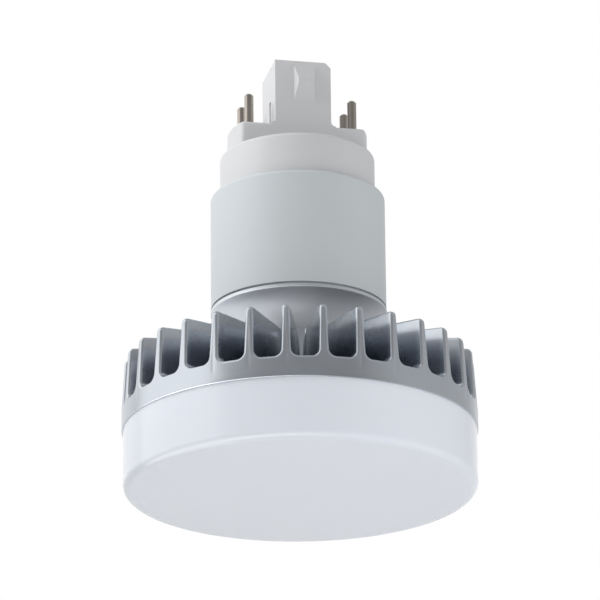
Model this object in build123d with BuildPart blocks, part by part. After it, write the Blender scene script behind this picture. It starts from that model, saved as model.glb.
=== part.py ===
from build123d import *
from math import cos, radians, sin, tan
import os

os.makedirs("parts", exist_ok=True)

# LED plug-in lamp, base up and lens down, origin at the centre of the lens face.
# X runs along the long side of the pin pattern. All sizes in millimetres.

# Diffuser lens
lens_height = 13.3
lens_wall = 2.2
lens_face = 2.0
lens_edge_radius = 1.6
lens_rim_radius = 0.5
spigot_wall = 1.5
spigot_height = 1.3
spigot_root = 2.0

# Heat-sink casting
sink_dia = 76.6
band_height = 4.6
band_wall = 1.8
recess_depth = 1.6
fin_count = 30
fin_phase = -4.1
fin_tip_height = 11.7
fin_rise = 2.4
fin_lean = 0.7
fin_top_thickness = 1.5
fin_root_thickness = 2.3
fin_root_radius = 1.6
fin_root_flats = 3
fin_corner_radius = 1.2
neck_bore_dia = 20.0
neck_floor = 2.0
hub_rise = 11.1
hub_flare = 4.3
hub_rim_height = 0.7
flare_overlap = 1.0
neck_bite = 1.0
cut_past = 3.0
ledge_depth = 1.5

# Driver housing
housing_dia = 38.0
housing_length = 26.1
housing_wall = 1.6
housing_floor = 2.5
housing_lip = 1.8
housing_edge_radius = 0.9
seam_width = 0.5
seam_depth = 0.9
floor_hole_dia = 12.0
rib_width = 1.2
rib_grip = 0.8

# Base cap
collar_height = 9.4
collar_edge_radius = 1.0
platform_width = 14.0
platform_height = 5.6
platform_edge_radius = 0.8
platform_corner_radius = 1.2
post_width = 12.4
post_height = 14.8
post_foot_radius = 1.0
post_chamfer = 1.2
cap_wall = 1.4
cap_top_wall = 2.0
plug_height = 4.7
plug_wall = 1.3
bead_height = 0.9
bead_proud = 0.45
latch_offset = 0.35
latch_base_width = 4.9
latch_crest_width = 3.4
latch_height = 9.0
latch_crest_height = 1.2
latch_proud = 1.8
latch_below_top = 0.5
latch_crest_offset = -0.1
latch_sink = 0.1
keyway_width = 1.6
keyway_depth = 0.5
keyway_height = 7.0
keyway_offset = -1.2

# Contact pins
pin_spacing_x = 23.0
pin_spacing_y = 8.0
pin_dia = 2.0
pin_proud = 7.3
pin_tip_bevel = 0.4
pin_shank_dia = 2.4
pin_flange_dia = 3.0
pin_flange_height = 0.8
pin_lead_dia = 1.0
pin_lead_bend = 2.0

# Light board
board_thickness = 1.6
pad_thickness = 0.4
wire_hole_dia = 6.0
package_width = 2.8
package_length = 3.5
package_height = 0.7
package_inner_radius = 13.5
package_inner_count = 8
package_middle_count = 16
package_outer_count = 20
package_edge = 2.8
package_row_step = 6.2
connector_width = 7.0
connector_depth = 8.0
connector_height = 3.0
connector_chamfer = 0.4

# Screws
screw_dia = 3.0
screw_head_dia = 5.4
screw_head_height = 2.0
screw_gap = 0.1
board_screw_count = 3
board_screw_circle = 37.0
board_screw_bite = 2.3
housing_screw_spacing = 26.0
housing_screw_bite = 5.5

# Driver board and what it carries
driver_width = 28.0
driver_height = 19.8
driver_thickness = 1.6
driver_face_y = 3.8
core_width = 13.0
core_depth = 6.0
core_height = 12.0
core_back_gap = 2.8
core_leg = 3.2
core_window_width = 3.0
core_window_height = 8.0
core_lift = 4.3
bobbin_wall = 0.6
bobbin_flange = 0.8
bobbin_margin = 2.0
winding_build = 1.1
winding_corner = 1.2
capacitor_dia = 6.3
capacitor_x = 9.9
input_capacitor_length = 11.0
output_capacitor_length = 9.0
lower_row_lift = 5.0
upper_row_lift = 12.4
film_width = 5.5
film_depth = 8.0
film_height = 6.0
film_chamfer = 0.6
choke_dia = 6.0
choke_waist_dia = 4.6
choke_length = 7.0
choke_flange = 1.2
fuse_dia = 2.6
fuse_length = 9.0
fuse_lift = 18.0
bridge_place = (-8.0, 13.5)
bridge_size = (4.7, 4.0, 2.4)
chip_place = (0.0, 12.0)
chip_size = (4.9, 3.9, 1.6)
transistor_place = (8.0, 10.0)
transistor_size = (6.6, 6.1, 2.3)
flat_package_chamfer = 0.3
led_lead_dia = 1.2
led_lead_spacing = 2.0
pin_lead_lift = 18.6

# Steps between pieces that follow one another
lens_inset = 0.3
board_gap = 0.8
pad_margin = 0.5
hub_margin = 0.1
opening_ledge = 3.7
collar_step = 2.1
platform_step = 1.6

# Moulded and assembly clearances
fit_gap = 0.2
slide_gap = 0.15
bead_gap = 0.2

# Diameters that follow from the casting and the barrel
lens_dia = sink_dia - 2 * lens_inset
recess_dia = sink_dia - 2 * band_wall
spigot_outer = recess_dia / 2 - fit_gap
spigot_inner = spigot_outer - spigot_wall
board_dia = 2 * (spigot_inner - board_gap)
pad_dia = board_dia - 2 * pad_margin
hub_dia = housing_dia + 2 * hub_margin
neck_dia = hub_dia - 2 * hub_flare
barrel_inner = housing_dia / 2 - housing_wall
housing_opening_dia = housing_dia - 2 * opening_ledge
plug_radius = housing_opening_dia / 2 - fit_gap
cap_bore_dia = 2 * (plug_radius - plug_wall)
collar_dia = housing_dia - 2 * collar_step
platform_dia = collar_dia - 2 * platform_step

# Heights of the stack
band_top = lens_height + band_height
floor_under = lens_height + recess_depth
fin_tip_z = band_top + fin_tip_height
fin_neck_z = fin_tip_z + fin_rise
hub_top = fin_tip_z + hub_rise
ledge_z = hub_top - ledge_depth
housing_floor_z = ledge_z + housing_floor
housing_top = hub_top + housing_length
collar_top = housing_top + collar_height
platform_top = collar_top + platform_height
post_top = platform_top + post_height
plate_under = platform_top - cap_top_wall
pad_under = floor_under - pad_thickness
board_under = pad_under - board_thickness
driver_mid_y = driver_face_y + driver_thickness / 2


# Lens: frosted cup with a flat face and a spigot that enters the band's recess
with BuildPart() as lens:
    lens_inner = lens_dia / 2 - lens_wall
    spigot_base = lens_height - spigot_root
    with BuildSketch(Plane.XZ):
        with BuildLine():
            Polyline(
                (0, 0),
                (lens_dia / 2, 0),
                (lens_dia / 2, lens_height),
                (spigot_outer, lens_height),
                (spigot_outer, lens_height + spigot_height),
                (spigot_inner, lens_height + spigot_height),
                (spigot_inner, spigot_base),
                (lens_inner, spigot_base - (lens_inner - spigot_inner)),
                (lens_inner, lens_face),
                (0, lens_face),
                close=True,
            )
        make_face()
        outer_corners = vertices().group_by(Axis.X)[-1].sort_by(Axis.Y)
        fillet(outer_corners[0], lens_edge_radius)
        fillet(outer_corners[1], lens_rim_radius)
    revolve(axis=Axis.Z)


# One gap between two fins: drafted walls and a floor whose corners are rounded in flats
half_pitch = radians(180 / fin_count)
gap_top = fin_neck_z + cut_past
draft = (fin_root_thickness - fin_top_thickness) / 2 / (fin_tip_z - band_top)


def gap_half_width(distance, height):
    half_fin = fin_root_thickness / 2 - draft * (height - band_top)
    return distance * tan(half_pitch) - half_fin / cos(half_pitch)


gap_outer = sink_dia / 2 + cut_past
gap_inner = neck_dia / 2 - neck_bite
root_round = fin_root_radius / gap_half_width(sink_dia / 2, band_top)


def gap_outline(distance):
    corner = root_round * gap_half_width(distance, band_top)
    half = []
    for step in range(fin_root_flats + 1):
        turn = radians(90) * step / fin_root_flats
        height = band_top + corner * (1 - cos(turn))
        half.append((gap_half_width(distance, height) - corner * (1 - sin(turn)), height))
    half.append((gap_half_width(distance, gap_top), gap_top))
    return half + [(-x, z) for x, z in reversed(half)]


with BuildPart() as fin_gap:
    for distance in (gap_inner, gap_outer):
        section_plane = Plane(origin=(0, -distance, 0), x_dir=(1, 0, 0), z_dir=(0, -1, 0))
        with BuildSketch(section_plane):
            with BuildLine():
                Polyline(*gap_outline(distance), close=True)
            make_face()
    loft(ruled=True)


# Heat sink: die casting with band, floor, thirty radial fins, neck and flared hub
fin_angle = radians(fin_phase)
fin_plane = Plane(
    origin=(0, 0, 0),
    x_dir=(sin(fin_angle), -cos(fin_angle), 0),
    z_dir=(-cos(fin_angle), -sin(fin_angle), 0),
)
fin_tip = (sink_dia / 2 - fin_lean, fin_tip_z)
with BuildPart() as heat_sink:
    with BuildSketch(fin_plane):
        with BuildLine():
            Polyline(
                (0, lens_height),
                (sink_dia / 2, lens_height),
                (sink_dia / 2, band_top),
                fin_tip,
                (neck_dia / 2, fin_neck_z),
                (0, fin_neck_z),
                close=True,
            )
        make_face()
        fillet(vertices().sort_by_distance(fin_tip)[0], fin_corner_radius)
    revolve(axis=Axis.Z)
    with PolarLocations(0, fin_count, start_angle=fin_phase + 180 / fin_count):
        add(fin_gap.part, mode=Mode.SUBTRACT)
    with BuildSketch(fin_plane):
        with BuildLine():
            hub_root = band_top - neck_bite
            flare_start = (neck_dia / 2, fin_neck_z - flare_overlap)
            flare_end = (hub_dia / 2, hub_top - hub_rim_height)
            Polyline((0, hub_root), (neck_dia / 2, hub_root), flare_start)
            TangentArc(flare_start, flare_end, tangent=(0, 1))
            Polyline(flare_end, (hub_dia / 2, hub_top), (0, hub_top), (0, hub_root))
        make_face()
    revolve(axis=Axis.Z)
    with BuildSketch(Plane.XY.offset(ledge_z)):
        Circle(barrel_inner - fit_gap)
    extrude(amount=ledge_depth, mode=Mode.SUBTRACT)
    with BuildSketch(Plane.XY.offset(band_top + neck_floor)):
        Circle(neck_bore_dia / 2)
    extrude(amount=ledge_z - band_top - neck_floor, mode=Mode.SUBTRACT)
    with BuildSketch(Plane.XY.offset(lens_height)):
        Circle(recess_dia / 2)
    extrude(amount=recess_depth, mode=Mode.SUBTRACT)
    with BuildSketch(Plane.XY.offset(floor_under)):
        with Locations((0, driver_mid_y)):
            Circle(wire_hole_dia / 2)
    extrude(amount=band_top + neck_floor - floor_under, mode=Mode.SUBTRACT)
    with BuildSketch(Plane.XY.offset(floor_under)):
        with PolarLocations(board_screw_circle / 2, board_screw_count, start_angle=90):
            Circle(screw_dia / 2 + screw_gap)
    extrude(amount=board_screw_bite + screw_gap, mode=Mode.SUBTRACT)
    with BuildSketch(Plane.XY.offset(ledge_z)):
        with GridLocations(0, housing_screw_spacing, 1, 2):
            Circle(screw_dia / 2 + screw_gap)
    extrude(amount=-(housing_screw_bite + screw_gap), mode=Mode.SUBTRACT)


# Thermal pad: soft heat-conducting sheet against the casting's floor
with BuildPart() as thermal_pad:
    with BuildSketch(Plane.XY.offset(pad_under)):
        Circle(pad_dia / 2)
        with Locations((0, driver_mid_y)):
            Circle(wire_hole_dia / 2, mode=Mode.SUBTRACT)
        with PolarLocations(board_screw_circle / 2, board_screw_count, start_angle=90):
            Circle(screw_dia / 2 + 2 * screw_gap, mode=Mode.SUBTRACT)
    extrude(amount=pad_thickness)


# Light board: aluminium-core disc with a wire hole and three screw holes
with BuildPart() as led_board:
    with BuildSketch(Plane.XY.offset(board_under)):
        Circle(board_dia / 2)
        with Locations((0, driver_mid_y)):
            Circle(wire_hole_dia / 2, mode=Mode.SUBTRACT)
        with PolarLocations(board_screw_circle / 2, board_screw_count, start_angle=90):
            Circle(screw_dia / 2 + screw_gap, mode=Mode.SUBTRACT)
    extrude(amount=board_thickness)


# Light packages: three rings of small blocks soldered to the board
outer_ring = board_dia / 2 - package_edge
package_rings = (
    (package_inner_radius, package_inner_count),
    (outer_ring - package_row_step, package_middle_count),
    (outer_ring, package_outer_count),
)
with BuildPart() as led_packages:
    for ring_radius, ring_count in package_rings:
        with BuildSketch(Plane.XY.offset(board_under)):
            with PolarLocations(ring_radius, ring_count):
                Rectangle(package_width, package_length)
        extrude(amount=-package_height)


# Light connector: two-pole block over the wire hole, entered from behind
with BuildPart() as led_connector:
    with BuildSketch(Plane.XY.offset(board_under)):
        with Locations((0, driver_mid_y)):
            Rectangle(connector_width, connector_depth)
    extrude(amount=-connector_height)
    chamfer(edges().filter_by(Axis.X).group_by(Axis.Z)[0], connector_chamfer)


# Board screws: pan heads under the light board, shanks in the casting
with BuildPart() as board_screws:
    with BuildSketch(Plane.XY.offset(board_under)):
        with PolarLocations(board_screw_circle / 2, board_screw_count, start_angle=90):
            Circle(screw_dia / 2)
    extrude(amount=floor_under + board_screw_bite - board_under)
    with BuildSketch(Plane.XY.offset(board_under)):
        with PolarLocations(board_screw_circle / 2, board_screw_count, start_angle=90):
            Circle(screw_head_dia / 2)
    extrude(amount=-screw_head_height)


# Driver housing: moulded barrel with a floor spigot, guide ribs and an inward lip
with BuildPart() as driver_housing:
    spigot_radius = barrel_inner - 2 * fit_gap
    with BuildSketch(Plane.XZ):
        with BuildLine():
            Polyline(
                (floor_hole_dia / 2, ledge_z),
                (spigot_radius, ledge_z),
                (spigot_radius, hub_top),
                (housing_dia / 2 - seam_depth, hub_top),
                (housing_dia / 2 - seam_depth, hub_top + seam_width),
                (housing_dia / 2, hub_top + seam_width),
                (housing_dia / 2, housing_top),
                (housing_opening_dia / 2, housing_top),
                (housing_opening_dia / 2, housing_top - housing_lip),
                (barrel_inner, housing_top - housing_lip),
                (barrel_inner, housing_floor_z),
                (floor_hole_dia / 2, housing_floor_z),
                close=True,
            )
        make_face()
        fillet(vertices().sort_by_distance((housing_dia / 2, housing_top))[0], housing_edge_radius)
    revolve(axis=Axis.Z)
    rib_inner = driver_width / 2 - rib_grip
    rib_front = driver_face_y - slide_gap - rib_width / 2
    rib_back = driver_face_y + driver_thickness + slide_gap + rib_width / 2
    with BuildSketch(Plane.XY.offset(housing_floor_z)):
        for side in (-1, 1):
            for rib_y in (rib_front, rib_back):
                with Locations((side * (rib_inner + barrel_inner) / 2, rib_y)):
                    Rectangle(barrel_inner - rib_inner, rib_width)
    extrude(amount=driver_height)
    with BuildSketch(Plane.XY.offset(ledge_z)):
        with GridLocations(0, housing_screw_spacing, 1, 2):
            Circle(screw_dia / 2 + screw_gap)
    extrude(amount=housing_floor, mode=Mode.SUBTRACT)


# Housing screws: pan heads on the housing floor, shanks in the hub
with BuildPart() as housing_screws:
    with BuildSketch(Plane.XY.offset(housing_floor_z)):
        with GridLocations(0, housing_screw_spacing, 1, 2):
            Circle(screw_dia / 2)
    extrude(amount=-(housing_floor + housing_screw_bite))
    with BuildSketch(Plane.XY.offset(housing_floor_z)):
        with GridLocations(0, housing_screw_spacing, 1, 2):
            Circle(screw_head_dia / 2)
    extrude(amount=screw_head_height)


# Driver board: upright board between the guide ribs, standing on the housing floor
driver_top = housing_floor_z + driver_height
with BuildPart() as driver_board:
    with BuildSketch(Plane.XY.offset(housing_floor_z)):
        with Locations((0, driver_face_y + driver_thickness / 2)):
            Rectangle(driver_width, driver_thickness)
    extrude(amount=driver_height)


# Transformer: ferrite core, flanged bobbin that stands on the board, and the winding
core_y = driver_face_y - core_back_gap - core_depth / 2
core_z = housing_floor_z + core_lift + core_height / 2
core_plane = Plane.XZ.offset(-core_y)
leg_half = core_leg / 2
window_x = leg_half + core_window_width / 2
with BuildPart() as transformer_core:
    with BuildSketch(core_plane):
        with Locations((0, core_z)):
            Rectangle(core_width, core_height)
        with Locations((-window_x, core_z), (window_x, core_z)):
            Rectangle(core_window_width, core_window_height, mode=Mode.SUBTRACT)
    extrude(amount=core_depth / 2, both=True)

tube_in_x = core_leg + 2 * slide_gap
tube_in_y = core_depth + 2 * slide_gap
tube_out_x = tube_in_x + 2 * bobbin_wall
tube_out_y = tube_in_y + 2 * bobbin_wall
bobbin_length = core_window_height - 2 * slide_gap
bobbin_width = core_leg + 2 * core_window_width - 2 * slide_gap
flange_front = core_y - core_depth / 2 - bobbin_margin
flange_depth = driver_face_y - flange_front
with BuildPart() as transformer_bobbin:
    with BuildSketch(Plane.XY.offset(core_z - bobbin_length / 2)):
        with Locations((0, core_y)):
            Rectangle(tube_out_x, tube_out_y)
    extrude(amount=bobbin_length)
    for flange_z in (core_z - bobbin_length / 2, core_z + bobbin_length / 2 - bobbin_flange):
        with BuildSketch(Plane.XY.offset(flange_z)):
            with Locations((0, (flange_front + driver_face_y) / 2)):
                Rectangle(bobbin_width, flange_depth)
        extrude(amount=bobbin_flange)
    with BuildSketch(Plane.XY.offset(core_z - bobbin_length / 2)):
        with Locations((0, core_y)):
            Rectangle(tube_in_x, tube_in_y)
    extrude(amount=bobbin_length, mode=Mode.SUBTRACT)

winding_length = bobbin_length - 2 * bobbin_flange - 2 * slide_gap
with BuildPart() as transformer_winding:
    with BuildSketch(Plane.XY.offset(core_z - winding_length / 2)):
        with Locations((0, core_y)):
            RectangleRounded(bobbin_width - 2 * slide_gap, tube_out_y + 2 * winding_build, winding_corner)
            Rectangle(tube_out_x + slide_gap, tube_out_y + slide_gap, mode=Mode.SUBTRACT)
    extrude(amount=winding_length)


# Capacitors: two cans soldered to the board's front
lower_z = housing_floor_z + lower_row_lift
upper_z = housing_floor_z + upper_row_lift
front_plane = Plane.XZ.offset(-driver_face_y)


def can_capacitor(height, length):
    with BuildPart() as can:
        with BuildSketch(front_plane):
            with Locations((capacitor_x, height)):
                Circle(capacitor_dia / 2)
        extrude(amount=length)
    return can.part


input_capacitor = can_capacitor(lower_z, input_capacitor_length)
output_capacitor = can_capacitor(upper_z, output_capacitor_length)


# Film capacitor: dipped block opposite the cans
with BuildPart() as film_capacitor:
    with BuildSketch(front_plane):
        with Locations((-capacitor_x, upper_z)):
            Rectangle(film_width, film_height)
    extrude(amount=film_depth)
    chamfer(edges().group_by(Axis.Y)[0], film_chamfer)


# Choke: ferrite drum with two flanges and a wound waist
with BuildPart() as choke:
    with BuildSketch(front_plane):
        with Locations((-capacitor_x, lower_z)):
            Circle(choke_dia / 2)
    extrude(amount=choke_length)
    with BuildSketch(Plane.XZ.offset(-driver_face_y + choke_flange)):
        with Locations((-capacitor_x, lower_z)):
            Circle(choke_dia / 2)
            Circle(choke_waist_dia / 2, mode=Mode.SUBTRACT)
    extrude(amount=choke_length - 2 * choke_flange, mode=Mode.SUBTRACT)


# Fuse: short tube lying along the top of the board
fuse_y = driver_face_y - fuse_dia / 2 - screw_gap
fuse_z = housing_floor_z + fuse_lift
with BuildPart() as fuse:
    with BuildSketch(Plane.YZ.offset(-fuse_length / 2)):
        with Locations((fuse_y, fuse_z)):
            Circle(fuse_dia / 2)
    extrude(amount=fuse_length)


# Flat packages on the back of the driver board
back_plane = Plane.XZ.offset(-driver_face_y - driver_thickness)


def flat_package(place, size):
    x, lift = place
    width, height, depth = size
    with BuildPart() as package:
        with BuildSketch(back_plane):
            with Locations((x, housing_floor_z + lift)):
                Rectangle(width, height)
        extrude(amount=-depth)
        chamfer(edges().group_by(Axis.Y)[-1], flat_package_chamfer)
    return package.part


bridge_rectifier = flat_package(bridge_place, bridge_size)
controller_chip = flat_package(chip_place, chip_size)
switch_transistor = flat_package(transistor_place, transistor_size)


# Base cap: collar, oblong platform with four pin holes, key post and a plug that clips under the lip
plug_bottom = housing_top - plug_height
bead_top = housing_top - housing_lip - bead_gap
post_half = post_width / 2
with BuildPart() as base_cap:
    with BuildSketch(Plane.XY.offset(housing_top)):
        Circle(collar_dia / 2)
    extrude(amount=collar_height)
    fillet(edges().group_by(Axis.Z)[-1], collar_edge_radius)
    with BuildSketch(Plane.XY.offset(housing_top)):
        Circle(platform_dia / 2)
        Rectangle(platform_dia, platform_width, mode=Mode.INTERSECT)
        fillet(vertices(), platform_corner_radius)
    extrude(amount=collar_height + platform_height)
    fillet(edges().group_by(Axis.Z)[-1], platform_edge_radius)
    with BuildSketch(Plane.XZ):
        with BuildLine():
            left_foot = (-post_half - post_foot_radius, platform_top)
            left_side = (-post_half, platform_top + post_foot_radius)
            right_side = (post_half, platform_top + post_foot_radius)
            right_foot = (post_half + post_foot_radius, platform_top)
            Polyline(right_foot, (right_foot[0], collar_top), (left_foot[0], collar_top), left_foot)
            TangentArc(left_foot, left_side, tangent=(1, 0))
            Polyline(
                left_side,
                (-post_half, post_top),
                (post_half - post_chamfer, post_top),
                (post_half, post_top - post_chamfer),
                right_side,
            )
            TangentArc(right_foot, right_side, tangent=(-1, 0))
        make_face()
    extrude(amount=platform_width / 2, both=True)
    latch_z = post_top - latch_below_top - latch_height / 2
    for facing in (-1, 1):
        with BuildSketch(Plane.XZ.offset(facing * (platform_width / 2 - latch_sink))):
            with Locations((facing * latch_offset, latch_z)):
                Rectangle(latch_base_width, latch_height)
        with BuildSketch(Plane.XZ.offset(facing * (platform_width / 2 + latch_proud))):
            with Locations((facing * latch_offset, latch_z + latch_crest_offset)):
                Rectangle(latch_crest_width, latch_crest_height)
        loft(ruled=True)
    with BuildSketch(Plane.XY.offset(plug_bottom)):
        Circle(plug_radius)
    extrude(amount=plug_height)
    with BuildSketch(Plane.XY.offset(bead_top - bead_height)):
        Circle(plug_radius + bead_proud)
    extrude(amount=bead_height)
    with BuildSketch(Plane.XY.offset(plug_bottom)):
        Circle(cap_bore_dia / 2)
    extrude(amount=collar_top - cap_wall - plug_bottom, mode=Mode.SUBTRACT)
    with BuildSketch(Plane.XY.offset(collar_top - cap_wall)):
        Circle(cap_bore_dia / 2)
        Rectangle(cap_bore_dia, platform_width - 2 * cap_wall, mode=Mode.INTERSECT)
    extrude(amount=plate_under - collar_top + cap_wall, mode=Mode.SUBTRACT)
    with BuildSketch(Plane.XY.offset(plate_under)):
        Rectangle(post_width - 2 * cap_wall, platform_width - 2 * cap_wall)
    extrude(amount=post_top - cap_wall - plate_under, mode=Mode.SUBTRACT)
    with BuildSketch(Plane.XY.offset(plate_under)):
        with GridLocations(pin_spacing_x, pin_spacing_y, 2, 2):
            Circle(pin_shank_dia / 2 + screw_gap)
    extrude(amount=cap_top_wall, mode=Mode.SUBTRACT)
    with BuildSketch(Plane.XY.offset(platform_top)):
        with Locations((-post_half, keyway_offset)):
            Rectangle(2 * keyway_depth, keyway_width)
    extrude(amount=keyway_height, mode=Mode.SUBTRACT)


# Contact pins: plated pins with a thicker shank, pushed up from inside until the flange meets the platform
pin_places = [
    (side_x * pin_spacing_x / 2, side_y * pin_spacing_y / 2) for side_y in (-1, 1) for side_x in (-1, 1)
]
contact_pins = []
for pin_x, pin_y in pin_places:
    with BuildPart() as contact_pin:
        with BuildSketch(Plane.XY.offset(plate_under - pin_flange_height)):
            with Locations((pin_x, pin_y)):
                Circle(pin_flange_dia / 2)
        extrude(amount=pin_flange_height)
        with BuildSketch(Plane.XY.offset(plate_under)):
            with Locations((pin_x, pin_y)):
                Circle(pin_shank_dia / 2)
        extrude(amount=cap_top_wall)
        with BuildSketch(Plane.XY.offset(platform_top)):
            with Locations((pin_x, pin_y)):
                Circle(pin_dia / 2)
        extrude(amount=pin_proud)
        chamfer(edges().group_by(Axis.Z)[-1], pin_tip_bevel)
    contact_pins.append(contact_pin.part)


# Leads from the pins to the driver board: the back pair drops on its edge, the front pair bends to its face
lead_z = housing_floor_z + pin_lead_lift
lead_start = plate_under - pin_flange_height
pin_leads = []
for pin_x, pin_y in pin_places:
    with BuildPart() as pin_lead:
        with BuildLine():
            if pin_y < 0:
                Polyline(
                    (pin_x, pin_y, lead_start),
                    (pin_x, pin_y, lead_z + pin_lead_bend),
                    (pin_x, pin_y + pin_lead_bend, lead_z),
                    (pin_x, driver_face_y, lead_z),
                )
            else:
                Line((pin_x, pin_y, lead_start), (pin_x, pin_y, driver_top))
        with BuildSketch(Plane(origin=(pin_x, pin_y, lead_start), z_dir=(0, 0, -1))):
            Circle(pin_lead_dia / 2)
        sweep(transition=Transition.RIGHT)
    pin_leads.append(pin_lead.part)


# Leads from the driver board's lower edge straight down the neck into the light connector
led_leads = []
for lead_x in (-led_lead_spacing / 2, led_lead_spacing / 2):
    with BuildPart() as led_lead:
        with BuildSketch(Plane.XY.offset(board_under)):
            with Locations((lead_x, driver_mid_y)):
                Circle(led_lead_dia / 2)
        extrude(amount=housing_floor_z - board_under)
    led_leads.append(led_lead.part)


pieces = {
    "lens": lens.part,
    "heat_sink": heat_sink.part,
    "thermal_pad": thermal_pad.part,
    "led_board": led_board.part,
    "led_packages": led_packages.part,
    "led_connector": led_connector.part,
    "board_screws": board_screws.part,
    "driver_housing": driver_housing.part,
    "housing_screws": housing_screws.part,
    "driver_board": driver_board.part,
    "transformer_core": transformer_core.part,
    "transformer_bobbin": transformer_bobbin.part,
    "transformer_winding": transformer_winding.part,
    "input_capacitor": input_capacitor,
    "output_capacitor": output_capacitor,
    "film_capacitor": film_capacitor.part,
    "choke": choke.part,
    "fuse": fuse.part,
    "bridge_rectifier": bridge_rectifier,
    "controller_chip": controller_chip,
    "switch_transistor": switch_transistor,
    "base_cap": base_cap.part,
}
for number, pin in enumerate(contact_pins, 1):
    pieces[f"contact_pin_{number}"] = pin
for number, lead in enumerate(pin_leads, 1):
    pieces[f"pin_lead_{number}"] = lead
for number, lead in enumerate(led_leads, 1):
    pieces[f"led_lead_{number}"] = lead

for name, piece in pieces.items():
    piece.label = name
    export_step(piece, f"parts/{name}.step")
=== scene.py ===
import math
import bmesh
import bpy
from mathutils import Matrix, Vector


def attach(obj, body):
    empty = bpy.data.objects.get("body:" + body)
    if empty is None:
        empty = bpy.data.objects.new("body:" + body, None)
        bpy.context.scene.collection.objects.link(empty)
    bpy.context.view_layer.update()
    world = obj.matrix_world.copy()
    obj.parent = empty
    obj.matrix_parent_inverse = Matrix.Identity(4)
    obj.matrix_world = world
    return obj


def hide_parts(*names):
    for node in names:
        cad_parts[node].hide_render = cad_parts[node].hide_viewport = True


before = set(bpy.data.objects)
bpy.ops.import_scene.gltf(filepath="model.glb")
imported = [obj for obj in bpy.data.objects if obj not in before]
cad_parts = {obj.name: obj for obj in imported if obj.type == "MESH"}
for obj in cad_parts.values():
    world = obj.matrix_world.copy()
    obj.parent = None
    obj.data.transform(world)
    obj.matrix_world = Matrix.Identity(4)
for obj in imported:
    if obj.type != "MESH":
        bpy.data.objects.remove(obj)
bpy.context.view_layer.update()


# Lens: a frosted polycarbonate cup, injection moulded in one piece.
# Its face is flat with a rounded edge, and its spigot is bonded into the casting's recess.
MM = 0.001


def grained(name, pale, deep, roughness, patch_mm, grain_mm, relief_mm, metallic=0.0):
    """A surface with soft patches of tone and gloss and a fine grain, all laid by the piece's own place."""
    surface = bpy.data.materials.new(name)
    surface.use_nodes = True
    nodes = surface.node_tree.nodes
    links = surface.node_tree.links
    shader = nodes["Principled BSDF"]
    shader.inputs["Metallic"].default_value = metallic
    place = nodes.new("ShaderNodeTexCoord")
    patches = nodes.new("ShaderNodeTexNoise")
    patches.inputs["Scale"].default_value = 1 / (patch_mm * MM)
    patches.inputs["Detail"].default_value = 3.0
    links.new(place.outputs["Object"], patches.inputs["Vector"])
    tone = nodes.new("ShaderNodeMix")
    tone.data_type = "RGBA"
    tone.inputs["A"].default_value = (*deep, 1)
    tone.inputs["B"].default_value = (*pale, 1)
    links.new(patches.outputs["Fac"], tone.inputs["Factor"])
    links.new(tone.outputs["Result"], shader.inputs["Base Color"])
    gloss = nodes.new("ShaderNodeMapRange")
    gloss.inputs["From Min"].default_value = 0.3
    gloss.inputs["From Max"].default_value = 0.7
    gloss.inputs["To Min"].default_value = roughness[0]
    gloss.inputs["To Max"].default_value = roughness[1]
    links.new(patches.outputs["Fac"], gloss.inputs["Value"])
    links.new(gloss.outputs["Result"], shader.inputs["Roughness"])
    grain = nodes.new("ShaderNodeTexNoise")
    grain.inputs["Scale"].default_value = 1 / (grain_mm * MM)
    grain.inputs["Detail"].default_value = 2.0
    links.new(place.outputs["Object"], grain.inputs["Vector"])
    bump = nodes.new("ShaderNodeBump")
    bump.inputs["Distance"].default_value = relief_mm * MM
    bump.inputs["Strength"].default_value = 1.0
    links.new(grain.outputs["Fac"], bump.inputs["Height"])
    links.new(bump.outputs["Normal"], shader.inputs["Normal"])
    return surface


def finish_node(surface, *names):
    """Gives the named CAD pieces one finish."""
    for name in names:
        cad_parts[name].data.materials.clear()
        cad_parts[name].data.materials.append(surface)


frosted = grained(
    "frosted_polycarbonate", pale=(0.84, 0.88, 0.97), deep=(0.82, 0.86, 0.95), roughness=(0.09, 0.14),
    patch_mm=25, grain_mm=0.35, relief_mm=0.001,
)
scatter_depth = 2 * MM
frosted_shader = frosted.node_tree.nodes["Principled BSDF"]
frosted_shader.inputs["IOR"].default_value = 1.58
frosted_shader.inputs["Subsurface Weight"].default_value = 0.3
frosted_shader.inputs["Subsurface Radius"].default_value = (scatter_depth, scatter_depth, scatter_depth)
frosted_shader.inputs["Subsurface Scale"].default_value = 1.0
finish_node(frosted, "lens")


# Heat sink: one aluminium die casting with a band, thirty drafted radial fins, a neck and a flared hub.
# Tumbling has rounded its edges, and it is left bare.
# The gaps between the fins carry painted shade, darker deep inside and low down,
# so the band and the fins' outer edges stay brighter. The hub is blasted to a rougher satin, and its paler
# tone is painted light.
fin_count = 30
fin_phase = -4.1
first_gap = 180 / fin_count + fin_phase
sink_radius = 38.3
band_bottom, band_top = 13.3, 17.9
band_edge, band_edge_steps = 0.15, 4
band_plain_bottom, band_plain_top = band_bottom + 1.2, band_top - 1.0
fin_tip, fin_rise, fin_corner, fin_lean = 29.6, 2.4, 1.2, 0.7
fin_half_root, fin_half_top = 1.15, 0.75
root_radius, root_steps = 1.6, 6
wall_steps = 4
rim_radius, rim_border = 0.6, 0.1
rim_share = 0.85
rim_steps, rim_turns = 4, 5
neck_radius, neck_bore_radius = 14.84, 10.0
hub_radius, hub_top, hub_rim = 19.1, 40.7, 0.7
hub_edge, hub_edge_steps = 0.2, 3
hub_border = 0.08
ledge_radius, ledge_depth = 17.2, 1.5
recess_radius, recess_depth = 36.5, 1.6
wire_hole_radius, neck_floor = 8.0, 2.0
half_pitch = math.pi / fin_count
draft = (fin_half_root - fin_half_top) / (fin_tip - band_top)
wall_lean = math.atan(draft)


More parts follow.
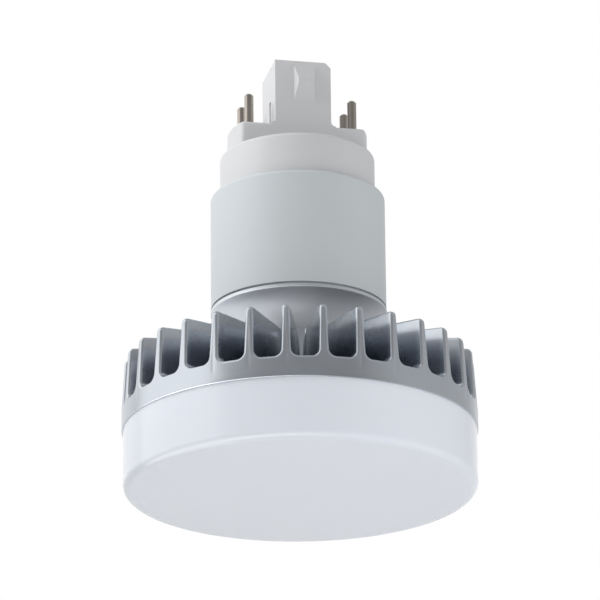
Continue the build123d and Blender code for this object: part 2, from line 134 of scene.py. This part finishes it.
def wall_at(radius, height):
    """Lateral place of a gap's wall, measured along the arc from the gap's middle."""
    half_fin = fin_half_root - draft * (height - band_top)
    return radius * (half_pitch - math.asin(half_fin / radius))


def fin_top_at(radius):
    """Height of a fin's top, which falls outwards and then turns down round the corner."""
    corner_centre = sink_radius - fin_corner
    slope = math.atan2(fin_rise, sink_radius - neck_radius)
    if radius < corner_centre + fin_corner * math.sin(slope):
        return fin_tip + fin_rise * (sink_radius - radius) / (sink_radius - neck_radius)
    corner_z = fin_tip - fin_corner * (1 - math.sin(slope)) / math.cos(slope)
    return corner_z + math.sqrt(max(fin_corner ** 2 - (radius - corner_centre) ** 2, 0))


def arc(centre, radius, start, end, steps):
    """Points along a round stretch, with its two ends."""
    angles = [start + (end - start) * i / steps for i in range(steps + 1)]
    return [(centre[0] + radius * math.cos(a), centre[1] + radius * math.sin(a)) for a in angles]


def between(foot, head, steps):
    """Points that part a straight stretch into equal steps, without its two ends."""
    shares = [i / steps for i in range(1, steps)]
    return [(foot[0] + (head[0] - foot[0]) * s, foot[1] + (head[1] - foot[1]) * s) for s in shares]


def gap_section(radius, cut):
    """From one fin's middle over the gap to the next fin's middle, as (angle, height) pairs."""
    top = fin_top_at(radius)
    floor_half = wall_at(radius, band_top)
    corner = root_radius * floor_half / wall_at(sink_radius, band_top)
    corner_x = floor_half + corner * draft - corner / math.cos(wall_lean)
    half = [(0.0, band_top - cut)]
    half += arc((corner_x, band_top + corner), corner + cut, -math.pi / 2, -wall_lean, root_steps)
    fin_half_here = fin_half_root - draft * (top - band_top) - cut
    rim = min(rim_radius, rim_share * fin_half_here)
    rim_x = wall_at(radius, top - rim) + (cut + rim) / math.cos(wall_lean)
    rim_arc = arc((rim_x, top - rim), rim, math.pi - wall_lean, math.pi / 2, rim_steps)
    half += between(half[-1], rim_arc[0], wall_steps)
    half += rim_arc + [(radius * half_pitch, top)]
    other = [(-x, z) for x, z in reversed(half[1:])]
    return [(x / radius, z) for x, z in other + half]


def fin_row(radius, cut):
    """One row of the slice, leaning in towards the fin tips more the farther out it lies."""
    reach = fin_lean * (radius - neck_radius) / (sink_radius - neck_radius)
    section = gap_section(radius, cut)
    return [(a, radius - reach * max(z - band_top, 0) / (fin_tip - band_top), z) for a, z in section]


# The slice holds one gap and half a fin on each side, from the neck out and round the band to the hub.
# Its rows lie closer together where the fins' tops turn down.
fin_radii = (neck_radius, 17, 20, 24, 28, 32, 35, 36.6, 37.2, 37.55, sink_radius - rim_radius)
slice_rows = [fin_row(r, 0.0) for r in fin_radii]
for step in range(1, rim_turns + 1):
    rim_angle = math.pi / 2 * step / rim_turns
    rim_out = sink_radius - rim_radius * (1 - math.sin(rim_angle))
    slice_rows.append(fin_row(rim_out, rim_radius * (1 - math.cos(rim_angle))))
slice_rows.append(fin_row(sink_radius, rim_radius + rim_border))
outer_angles = [a for a, r, z in slice_rows[-1]]
neck_angles = [a for a, r, z in slice_rows[0]]

recess_floor = band_bottom + recess_depth
band_rings = [(sink_radius, band_plain_top), (sink_radius, band_plain_bottom)]
band_corner = (sink_radius - band_edge, band_bottom + band_edge)
band_rings += arc(band_corner, band_edge, 0, -math.pi / 2, band_edge_steps)
band_rings += [(recess_radius, band_bottom), (recess_radius, recess_floor)]
slice_rows += [[(a, r, z) for a in outer_angles] for r, z in band_rings]

flare_foot, flare_head = fin_tip + fin_rise, hub_top - hub_rim
flare_run, flare_climb = hub_radius - neck_radius, flare_head - flare_foot
flare_radius = (flare_run ** 2 + flare_climb ** 2) / (2 * flare_run)
flare_centre = (neck_radius + flare_radius, flare_foot)
flare_start = math.pi - math.asin(flare_climb / flare_radius)
flare_border, flare_border_steps = 0.02, 2
flare_inset, flare_steps = 0.05, 14
floor_top = band_top + neck_floor
ledge = hub_top - ledge_depth
hub_rings = [(wire_hole_radius, recess_floor), (wire_hole_radius, floor_top)]
hub_rings += [(neck_bore_radius, floor_top), (neck_bore_radius, ledge)]
hub_rings += [(ledge_radius, ledge), (ledge_radius, hub_top), (hub_radius - hub_edge, hub_top)]
hub_corner = (hub_radius - hub_edge, hub_top - hub_edge)
hub_rings += arc(hub_corner, hub_edge, math.pi / 2, 0, hub_edge_steps)[1:]
hub_rings += [(hub_radius, flare_head + 2 * hub_border), (hub_radius, flare_head + hub_border)]
hub_rings += arc(flare_centre, flare_radius, flare_start, flare_start + flare_border, flare_border_steps)[1:]
hub_rings += arc(flare_centre, flare_radius, flare_start + flare_inset, math.pi, flare_steps)
slice_rows += [[(a, r, z) for a in neck_angles] for r, z in hub_rings]

slice_mesh = bpy.data.meshes.new("casting_slice")
slice_points = [
    (r * math.sin(a) * MM, -r * math.cos(a) * MM, z * MM) for row in slice_rows for a, r, z in row
]
columns = len(neck_angles)
slice_faces = []
for row in range(len(slice_rows)):
    after = (row + 1) % len(slice_rows)
    for column in range(columns - 1):
        near, far = row * columns + column, after * columns + column
        slice_faces.append((near, near + 1, far + 1, far))
slice_mesh.from_pydata(slice_points, [], slice_faces)
casting = bpy.data.objects.new("heat_sink_casting", slice_mesh)
bpy.context.scene.collection.objects.link(casting)

bare_casting = grained(
    "bare_casting", pale=(0.57, 0.605, 0.65), deep=(0.51, 0.545, 0.59), roughness=(0.23, 0.29),
    patch_mm=9, grain_mm=0.3, relief_mm=0.0025, metallic=1.0,
)
cast = bare_casting.node_tree
cast_shader = cast.nodes["Principled BSDF"]
cast_place = cast.nodes.new("ShaderNodeSeparateXYZ")
cast.links.new(cast.nodes["Texture Coordinate"].outputs["Object"], cast_place.inputs["Vector"])
# Painted shade in the gaps: the colour darkens from the gap mouth inwards and from near the fin tops
# downwards.
gap_mouth, gap_inside = 37.4, 36.2
gap_shade_top, gap_shade_full = 29.5, 24.5
gap_shade_tint = (0.70, 0.70, 0.72)
# The hub's mask gives it a rougher satin and a paler tone; the paler tone is painted light.
blast_edge, blast_full = 32.0, 34.0
hub_light_tone = (0.70, 0.72, 0.75)
blast_roughness = 0.26


def fade(tree, value, start, full, low=0.0, high=1.0):
    """Goes softly from low to high as a value passes from start to full."""
    ramp = tree.nodes.new("ShaderNodeMapRange")
    ramp.interpolation_type = "SMOOTHSTEP"
    ramp.inputs["From Min"].default_value = start
    ramp.inputs["From Max"].default_value = full
    ramp.inputs["To Min"].default_value = low
    ramp.inputs["To Max"].default_value = high
    tree.links.new(value, ramp.inputs["Value"])
    return ramp.outputs["Result"]


def reckon(tree, operation, *terms):
    """One sum of sockets and plain numbers."""
    step = tree.nodes.new("ShaderNodeMath")
    step.operation = operation
    for socket, term in zip(step.inputs, terms):
        if isinstance(term, float):
            socket.default_value = term
        else:
            tree.links.new(term, socket)
    return step.outputs["Value"]


def toned(factor, start, tone, blend="MIX"):
    """The casting's colour, turned to another tone as a factor grows."""
    mix = cast.nodes.new("ShaderNodeMix")
    mix.data_type = "RGBA"
    mix.blend_type = blend
    mix.inputs["B"].default_value = (*tone, 1)
    cast.links.new(factor, mix.inputs["Factor"])
    cast.links.new(start, mix.inputs["A"])
    return mix.outputs["Result"]


across = reckon(cast, "MULTIPLY", cast_place.outputs["X"], cast_place.outputs["X"])
across = reckon(cast, "MULTIPLY_ADD", cast_place.outputs["Y"], cast_place.outputs["Y"], across)
across = reckon(cast, "SQRT", across)
gap_depth = fade(cast, across, gap_mouth * MM, gap_inside * MM)
gap_low = fade(cast, cast_place.outputs["Z"], gap_shade_top * MM, gap_shade_full * MM)
gap_painted_shade = reckon(cast, "MULTIPLY", gap_depth, gap_low)
hub_satin_and_light = fade(cast, cast_place.outputs["Z"], blast_edge * MM, blast_full * MM)
cast_tone = cast_shader.inputs["Base Color"].links[0].from_socket
cast_gloss = cast_shader.inputs["Roughness"].links[0].from_socket
# Painted shade: deep and low in the gaps the casting's colour is multiplied by a grey tint.
cast_tone = toned(gap_painted_shade, cast_tone, gap_shade_tint, "MULTIPLY")
# Painted light: the hub's colour is turned paler.
cast.links.new(toned(hub_satin_and_light, cast_tone, hub_light_tone), cast_shader.inputs["Base Color"])
satin = reckon(cast, "MULTIPLY_ADD", hub_satin_and_light, blast_roughness, cast_gloss)
cast.links.new(satin, cast_shader.inputs["Roughness"])

seam_width = 0.002
fin_ring = bpy.data.node_groups.new("fin_ring", "GeometryNodeTree")
fin_ring.interface.new_socket("Slice", in_out="INPUT", socket_type="NodeSocketGeometry")
count_socket = fin_ring.interface.new_socket("Fins", in_out="INPUT", socket_type="NodeSocketInt")
phase_socket = fin_ring.interface.new_socket("First gap", in_out="INPUT", socket_type="NodeSocketFloat")
metal_socket = fin_ring.interface.new_socket("Metal", in_out="INPUT", socket_type="NodeSocketMaterial")
fin_ring.interface.new_socket("Casting", in_out="OUTPUT", socket_type="NodeSocketGeometry")
ring_in = fin_ring.nodes.new("NodeGroupInput")
ring_out = fin_ring.nodes.new("NodeGroupOutput")
centres = fin_ring.nodes.new("GeometryNodePoints")
index = fin_ring.nodes.new("GeometryNodeInputIndex")
pitch = fin_ring.nodes.new("ShaderNodeMath")
pitch.operation = "DIVIDE"
pitch.inputs[0].default_value = 2 * math.pi
angle = fin_ring.nodes.new("ShaderNodeMath")
angle.operation = "MULTIPLY_ADD"
turn_about = fin_ring.nodes.new("ShaderNodeCombineXYZ")
as_rotation = fin_ring.nodes.new("FunctionNodeEulerToRotation")
placed = fin_ring.nodes.new("GeometryNodeInstanceOnPoints")
realized = fin_ring.nodes.new("GeometryNodeRealizeInstances")
joined = fin_ring.nodes.new("GeometryNodeMergeByDistance")
joined.inputs["Distance"].default_value = seam_width * MM
smooth = fin_ring.nodes.new("GeometryNodeSetShadeSmooth")
coated = fin_ring.nodes.new("GeometryNodeSetMaterial")
wire = fin_ring.links.new
wire(ring_in.outputs["Fins"], centres.inputs["Count"])
wire(ring_in.outputs["Fins"], pitch.inputs[1])
wire(index.outputs["Index"], angle.inputs[0])
wire(pitch.outputs["Value"], angle.inputs[1])
wire(ring_in.outputs["First gap"], angle.inputs[2])
wire(angle.outputs["Value"], turn_about.inputs["Z"])
wire(turn_about.outputs["Vector"], as_rotation.inputs["Euler"])
wire(centres.outputs["Points"], placed.inputs["Points"])
wire(ring_in.outputs["Slice"], placed.inputs["Instance"])
wire(as_rotation.outputs["Rotation"], placed.inputs["Rotation"])
wire(placed.outputs["Instances"], realized.inputs["Geometry"])
wire(realized.outputs["Geometry"], joined.inputs["Geometry"])
wire(joined.outputs["Geometry"], smooth.inputs["Geometry"])
wire(smooth.outputs["Geometry"], coated.inputs["Geometry"])
wire(ring_in.outputs["Metal"], coated.inputs["Material"])
wire(coated.outputs["Geometry"], ring_out.inputs["Casting"])

ring = casting.modifiers.new("fin_ring", "NODES")
ring.node_group = fin_ring
ring[count_socket.identifier] = fin_count
ring[phase_socket.identifier] = math.radians(first_gap)
ring[metal_socket.identifier] = bare_casting
whole = bpy.data.meshes.new_from_object(casting.evaluated_get(bpy.context.evaluated_depsgraph_get()))
casting.modifiers.remove(ring)
casting.data = whole
shell = bmesh.new()
shell.from_mesh(whole)
bmesh.ops.recalc_face_normals(shell, faces=shell.faces)
shell.to_mesh(whole)
shell.free()
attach(casting, "root")
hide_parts("heat_sink")


# Light engine: a white-masked aluminium board on a soft pad, screwed to the casting's floor.
# Small packages in rings, a two-pole connector and three screws sit on it behind the lens.
pad_sheet = grained(
    "pad_sheet", pale=(0.50, 0.52, 0.55), deep=(0.45, 0.47, 0.50), roughness=(0.7, 0.8),
    patch_mm=6, grain_mm=0.4, relief_mm=0.02,
)
finish_node(pad_sheet, "thermal_pad")
white_mask = grained(
    "white_mask", pale=(0.86, 0.86, 0.84), deep=(0.82, 0.82, 0.80), roughness=(0.3, 0.4),
    patch_mm=8, grain_mm=0.5, relief_mm=0.004,
)
finish_node(white_mask, "led_board")
phosphor = grained(
    "phosphor", pale=(0.92, 0.80, 0.32), deep=(0.88, 0.74, 0.26), roughness=(0.3, 0.5),
    patch_mm=1, grain_mm=0.1, relief_mm=0.01,
)
finish_node(phosphor, "led_packages")
nylon = grained(
    "nylon", pale=(0.88, 0.87, 0.82), deep=(0.84, 0.83, 0.78), roughness=(0.4, 0.5),
    patch_mm=4, grain_mm=0.2, relief_mm=0.006,
)
finish_node(nylon, "led_connector")
zinc_plate = grained(
    "zinc_plate", pale=(0.58, 0.58, 0.60), deep=(0.50, 0.50, 0.52), roughness=(0.25, 0.4),
    patch_mm=2, grain_mm=0.15, relief_mm=0.006, metallic=1.0,
)
finish_node(zinc_plate, "board_screws", "housing_screws")


# Driver: a small upright board with its transformer, capacitors, choke, fuse and chips.
# It slides between ribs in the housing and is soldered to the leads.
epoxy_board = grained(
    "epoxy_board", pale=(0.10, 0.30, 0.15), deep=(0.07, 0.24, 0.11), roughness=(0.35, 0.5),
    patch_mm=3, grain_mm=0.3, relief_mm=0.01,
)
finish_node(epoxy_board, "driver_board")
ferrite_grey = grained(
    "ferrite_grey", pale=(0.13, 0.13, 0.14), deep=(0.09, 0.09, 0.10), roughness=(0.5, 0.65),
    patch_mm=2, grain_mm=0.2, relief_mm=0.02,
)
finish_node(ferrite_grey, "transformer_core", "choke")
black_bobbin = grained(
    "black_bobbin", pale=(0.07, 0.07, 0.07), deep=(0.05, 0.05, 0.05), roughness=(0.4, 0.5),
    patch_mm=3, grain_mm=0.2, relief_mm=0.01,
)
finish_node(black_bobbin, "transformer_bobbin")
yellow_tape = grained(
    "yellow_tape", pale=(0.82, 0.66, 0.10), deep=(0.74, 0.57, 0.07), roughness=(0.3, 0.4),
    patch_mm=3, grain_mm=0.4, relief_mm=0.02,
)
finish_node(yellow_tape, "transformer_winding")
dark_sleeve = grained(
    "dark_sleeve", pale=(0.08, 0.08, 0.11), deep=(0.05, 0.05, 0.07), roughness=(0.25, 0.35),
    patch_mm=3, grain_mm=0.5, relief_mm=0.01,
)
finish_node(dark_sleeve, "input_capacitor", "output_capacitor")
brown_dip = grained(
    "brown_dip", pale=(0.55, 0.25, 0.09), deep=(0.46, 0.20, 0.07), roughness=(0.2, 0.3),
    patch_mm=2, grain_mm=0.6, relief_mm=0.03,
)
finish_node(brown_dip, "film_capacitor")
pale_tube = grained(
    "pale_tube", pale=(0.78, 0.76, 0.70), deep=(0.72, 0.70, 0.64), roughness=(0.4, 0.5),
    patch_mm=2, grain_mm=0.2, relief_mm=0.01,
)
finish_node(pale_tube, "fuse")
black_epoxy = grained(
    "black_epoxy", pale=(0.06, 0.06, 0.06), deep=(0.04, 0.04, 0.04), roughness=(0.5, 0.6),
    patch_mm=2, grain_mm=0.15, relief_mm=0.015,
)
finish_node(black_epoxy, "bridge_rectifier", "controller_chip", "switch_transistor")


# Leads: thin wires in a pale plastic jacket, cut to length.
# Four join the contact pins to the driver board, and two run through the neck to the light engine.
wire_jacket = grained(
    "wire_jacket", pale=(0.76, 0.75, 0.73), deep=(0.70, 0.69, 0.67), roughness=(0.35, 0.45),
    patch_mm=3, grain_mm=0.3, relief_mm=0.01,
)
finish_node(wire_jacket, *["pin_lead_%d" % i for i in range(1, 5)])
finish_node(wire_jacket, *["led_lead_%d" % i for i in range(1, 3)])


# Driver housing: a cool white moulded barrel, matt from the tool's spark finish.
# It is screwed to the hub from inside, and a fine groove stays between the two.
barrel_moulding = grained(
    "barrel_moulding", pale=(0.60, 0.64, 0.66), deep=(0.57, 0.61, 0.63), roughness=(0.45, 0.55),
    patch_mm=14, grain_mm=0.18, relief_mm=0.008,
)
finish_node(barrel_moulding, "driver_housing")


# Base cap: a white moulding with collar, oblong platform and keyed post.
# Its plug snaps under the housing's lip.
cap_moulding = grained(
    "cap_moulding", pale=(0.65, 0.655, 0.67), deep=(0.62, 0.625, 0.64), roughness=(0.40, 0.5),
    patch_mm=12, grain_mm=0.2, relief_mm=0.006,
)
finish_node(cap_moulding, "base_cap")


# Contact pins: four turned brass pins with a nickel plating that has gone a little brown.
# They are pushed up through the platform from inside, until a flange stops them.
nickel_plate = grained(
    "nickel_plate", pale=(0.48, 0.44, 0.395), deep=(0.38, 0.345, 0.31), roughness=(0.13, 0.21),
    patch_mm=3, grain_mm=0.1, relief_mm=0.003, metallic=1.0,
)
finish_node(nickel_plate, *["contact_pin_%d" % i for i in range(1, 5)])


# Stage: a pale floor at the lens face, on which the lamp stands.
# It is seen from above only, so the view from below stays clear.
floor_reach = 1.5
floor_corners = [(-1, -1), (1, -1), (1, 1), (-1, 1)]
floor_points = [(x * floor_reach, y * floor_reach, 0) for x, y in floor_corners]
floor_mesh = bpy.data.meshes.new("floor")
floor_mesh.from_pydata(floor_points, [], [(0, 1, 2, 3)])
floor = bpy.data.objects.new("floor", floor_mesh)
bpy.context.scene.collection.objects.link(floor)
pale_floor = bpy.data.materials.new("pale_floor")
pale_floor.use_nodes = True
floor_nodes = pale_floor.node_tree.nodes
floor_links = pale_floor.node_tree.links
floor_shader = floor_nodes["Principled BSDF"]
floor_shader.inputs["Base Color"].default_value = (0.9, 0.9, 0.9, 1)
floor_shader.inputs["Roughness"].default_value = 0.9
floor_side = floor_nodes.new("ShaderNodeNewGeometry")
floor_clear = floor_nodes.new("ShaderNodeBsdfTransparent")
floor_choice = floor_nodes.new("ShaderNodeMixShader")
floor_links.new(floor_side.outputs["Backfacing"], floor_choice.inputs[0])
floor_links.new(floor_shader.outputs["BSDF"], floor_choice.inputs[1])
floor_links.new(floor_clear.outputs["BSDF"], floor_choice.inputs[2])
floor_links.new(floor_choice.outputs["Shader"], floor_nodes["Material Output"].inputs["Surface"])
floor_mesh.materials.append(pale_floor)
floor.visible_diffuse = False
floor.visible_glossy = False
floor.visible_transmission = False
floor.visible_shadow = False


# Studio light: an even room that is darker in front, with four soft lamps.
# Mirrors also show a bright panel on the left, a pale sweep below and a white backdrop behind.
# The camera sees the backdrop's white all round.
world = bpy.data.worlds.new("studio")
bpy.context.scene.world = world
world.use_nodes = True
sky = world.node_tree
surround = sky.nodes["Background"]
surround.inputs["Color"].default_value = (1, 1, 1, 1)
ray = sky.nodes.new("ShaderNodeLightPath")
aim = sky.nodes.new("ShaderNodeTexCoord")
split = sky.nodes.new("ShaderNodeSeparateXYZ")
sky.links.new(aim.outputs["Generated"], split.inputs["Vector"])
room_light, front_light, right_light = 0.52, 0.34, 0.04
panel_light = 0.82
sweep_right_light, sweep_left_light = 0.2, 2.2
backdrop_light = 1.0
lamp_aim = Vector((0, 0, 40)) * MM


def wall(axis, start, full, low=0.0, high=1.0):
    """Light that goes from low to high as a ray turns along one axis."""
    return fade(sky, split.outputs[axis], start, full, low, high)


def soft_lamp(name, place, size, power):
    """A rectangular lamp turned to the object's middle, which mirrors don't show."""
    lamp = bpy.data.lights.new(name, "AREA")
    lamp.shape = "RECTANGLE"
    lamp.size, lamp.size_y = size
    lamp.energy = power
    holder = bpy.data.objects.new(name, lamp)
    holder.location = place
    holder.rotation_euler = (lamp_aim - Vector(place)).to_track_quat("-Z", "Y").to_euler()
    holder.visible_glossy = False
    bpy.context.scene.collection.objects.link(holder)


front_wall = wall("Y", start=-0.5, full=-0.95, low=room_light, high=front_light)
right_wall = wall("X", start=0.3, full=0.7, high=right_light)
room = reckon(sky, "ADD", front_wall, right_wall)
panel = reckon(sky, "MULTIPLY", wall("Y", start=-0.43, full=-0.36), wall("Y", start=0.74, full=0.66))
panel = reckon(sky, "MULTIPLY", panel, wall("X", start=-0.2, full=-0.4, high=panel_light))
sweep = reckon(sky, "MULTIPLY", wall("Z", start=-0.36, full=-0.46), wall("Z", start=-0.97, full=-0.85))
sweep_side = wall("X", start=0.35, full=-0.35, low=sweep_right_light, high=sweep_left_light)
sweep = reckon(sky, "MULTIPLY", sweep, sweep_side)
mirrored = reckon(sky, "MAXIMUM", ray.outputs["Is Glossy Ray"], ray.outputs["Is Transmission Ray"])
mirrored_light = reckon(sky, "MULTIPLY", mirrored, reckon(sky, "ADD", panel, sweep))
backdrop = reckon(sky, "MULTIPLY", mirrored, wall("Y", start=0.55, full=0.9))
backdrop = reckon(sky, "MAXIMUM", backdrop, ray.outputs["Is Camera Ray"])
level = sky.nodes.new("ShaderNodeMix")
level.data_type = "FLOAT"
level.inputs["B"].default_value = backdrop_light
sky.links.new(backdrop, level.inputs["Factor"])
sky.links.new(reckon(sky, "ADD", room, mirrored_light), level.inputs["A"])
sky.links.new(level.outputs["Result"], surround.inputs["Strength"])

soft_lamp("left_lamp", place=(-0.17, -0.01, 0.17), size=(0.12, 0.12), power=0.28)
soft_lamp("right_lamp", place=(0.9, -0.3, 0.2), size=(0.6, 0.9), power=1.4)
soft_lamp("front_lamp", place=(-0.1, -0.9, 0.0), size=(0.8, 0.6), power=0.9)
soft_lamp("under_lamp", place=(0.05, -0.30, -0.24), size=(0.3, 0.3), power=0.46)


# Camera: a long lens, far off and below the lamp's face.
# It looks up along the photograph's line of sight and is rolled by a little over half a degree.
camera_place = Vector((-207.91, -978.15, -312.81)) * MM
camera_aim = Vector((0.35, 0.219, 43.684)) * MM
camera_roll = math.radians(-0.6)
sight = (camera_aim - camera_place).normalized()
level_right = sight.cross(Vector((0, 0, 1))).normalized()
level_up = level_right.cross(sight)
right = level_right * math.cos(camera_roll) + level_up * math.sin(camera_roll)
up = level_up * math.cos(camera_roll) - level_right * math.sin(camera_roll)
stance = Matrix((right, up, -sight)).transposed().to_4x4()
eye = bpy.data.cameras.new("camera")
eye.sensor_width = 36.0
eye.lens = 293.9
eye.clip_start, eye.clip_end = 0.05, 10.0
camera = bpy.data.objects.new("camera", eye)
camera.matrix_world = Matrix.Translation(camera_place) @ stance
bpy.context.scene.collection.objects.link(camera)
bpy.context.scene.camera = camera
bpy.context.scene.view_settings.view_transform = "Standard"
